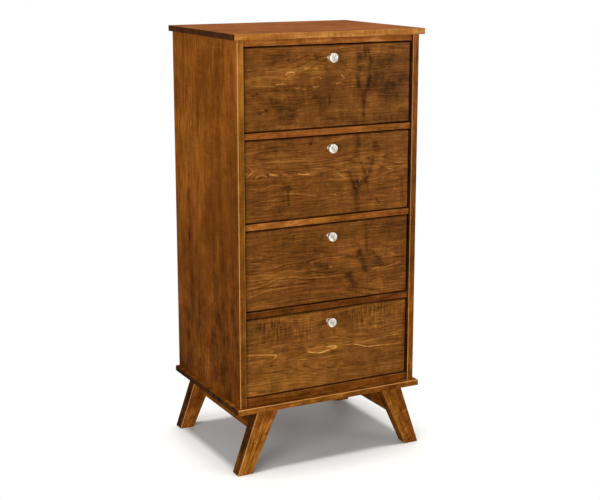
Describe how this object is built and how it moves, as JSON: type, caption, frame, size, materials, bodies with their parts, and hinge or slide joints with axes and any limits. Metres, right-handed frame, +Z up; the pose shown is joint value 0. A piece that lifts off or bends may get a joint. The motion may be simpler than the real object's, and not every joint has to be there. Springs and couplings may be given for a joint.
{
  "type": "chest of drawers",
  "caption": "Tall narrow chest of drawers in stained wood on splayed legs, with inset drawer fronts, small round metal knobs and full-extension runners.",
  "frame": {"origin": "on the floor, in the middle of the overall width and depth, knobs included", "axes": "+X to the right of someone facing the drawers, +Y from the drawers to the back, +Z up"},
  "size_m": [0.6006, 0.471, 1.245],
  "materials": {
    "stained_maple": "brown stain under satin lacquer, edges rubbed lighter",
    "drawer_front_maple": "brown stain under satin lacquer on figured maple",
    "clear_maple": "clear satin lacquer",
    "drawer_bottom_plywood": "clear satin lacquer on plywood",
    "back_plywood": "brown stain on plywood",
    "brushed_nickel": "brushed nickel plate",
    "zinc_plated_steel": "bright zinc plate",
    "screw_steel": "zinc plated steel"
  },
  "bodies": {
    "case": {"top_board": "stained_maple", "bottom_board": "stained_maple", "side_panel_left": "stained_maple", "side_panel_right": "stained_maple", "back_panel": "back_plywood", "back_panel_screws": "screw_steel", "base_screws": "screw_steel", "base_rail_left": "stained_maple", "base_rail_right": "stained_maple", "leg_front_left": "stained_maple", "leg_front_right": "stained_maple", "leg_back_left": "stained_maple", "leg_back_right": "stained_maple", "top_front_rail": "stained_maple", "divider_rail_1": "stained_maple", "divider_rail_2": "stained_maple", "divider_rail_3": "stained_maple", "bottom_front_rail": "stained_maple", "top_back_rail": "stained_maple", "case_slide_members": "zinc_plated_steel"},
    "drawer_1": {"drawer_1_front": "drawer_front_maple", "drawer_1_knob": "brushed_nickel", "drawer_1_side_left": "clear_maple", "drawer_1_side_right": "clear_maple", "drawer_1_box_front": "clear_maple", "drawer_1_box_back": "clear_maple", "drawer_1_bottom": "drawer_bottom_plywood", "drawer_1_screws": "screw_steel", "drawer_1_slide_members": "zinc_plated_steel"},
    "slide_1": {"slide_1_middle_members": "zinc_plated_steel"},
    "drawer_2": {"drawer_2_front": "drawer_front_maple", "drawer_2_knob": "brushed_nickel", "drawer_2_side_left": "clear_maple", "drawer_2_side_right": "clear_maple", "drawer_2_box_front": "clear_maple", "drawer_2_box_back": "clear_maple", "drawer_2_bottom": "drawer_bottom_plywood", "drawer_2_screws": "screw_steel", "drawer_2_slide_members": "zinc_plated_steel"},
    "slide_2": {"slide_2_middle_members": "zinc_plated_steel"},
    "drawer_3": {"drawer_3_front": "drawer_front_maple", "drawer_3_knob": "brushed_nickel", "drawer_3_side_left": "clear_maple", "drawer_3_side_right": "clear_maple", "drawer_3_box_front": "clear_maple", "drawer_3_box_back": "clear_maple", "drawer_3_bottom": "drawer_bottom_plywood", "drawer_3_screws": "screw_steel", "drawer_3_slide_members": "zinc_plated_steel"},
    "slide_3": {"slide_3_middle_members": "zinc_plated_steel"},
    "drawer_4": {"drawer_4_front": "drawer_front_maple", "drawer_4_knob": "brushed_nickel", "drawer_4_side_left": "clear_maple", "drawer_4_side_right": "clear_maple", "drawer_4_box_front": "clear_maple", "drawer_4_box_back": "clear_maple", "drawer_4_bottom": "drawer_bottom_plywood", "drawer_4_screws": "screw_steel", "drawer_4_slide_members": "zinc_plated_steel"},
    "slide_4": {"slide_4_middle_members": "zinc_plated_steel"}
  },
  "joints": [
    {"name": "drawer_1_pull", "type": "slide", "parent": "case", "child": "drawer_1", "axis": [0, -1, 0], "range_m": [0, 0.38]},
    {"name": "slide_1_travel", "type": "slide", "parent": "case", "child": "slide_1", "axis": [0, -1, 0], "range_m": [0, 0.19]},
    {"name": "drawer_2_pull", "type": "slide", "parent": "case", "child": "drawer_2", "axis": [0, -1, 0], "range_m": [0, 0.38]},
    {"name": "slide_2_travel", "type": "slide", "parent": "case", "child": "slide_2", "axis": [0, -1, 0], "range_m": [0, 0.19]},
    {"name": "drawer_3_pull", "type": "slide", "parent": "case", "child": "drawer_3", "axis": [0, -1, 0], "range_m": [0, 0.38]},
    {"name": "slide_3_travel", "type": "slide", "parent": "case", "child": "slide_3", "axis": [0, -1, 0], "range_m": [0, 0.19]},
    {"name": "drawer_4_pull", "type": "slide", "parent": "case", "child": "drawer_4", "axis": [0, -1, 0], "range_m": [0, 0.38]},
    {"name": "slide_4_travel", "type": "slide", "parent": "case", "child": "slide_4", "axis": [0, -1, 0], "range_m": [0, 0.19]}
  ],
  "couplings": [
    {"joint": "slide_1_travel", "follows": "drawer_1_pull", "ratio": 0.5},
    {"joint": "slide_2_travel", "follows": "drawer_2_pull", "ratio": 0.5},
    {"joint": "slide_3_travel", "follows": "drawer_3_pull", "ratio": 0.5},
    {"joint": "slide_4_travel", "follows": "drawer_4_pull", "ratio": 0.5}
  ]
}
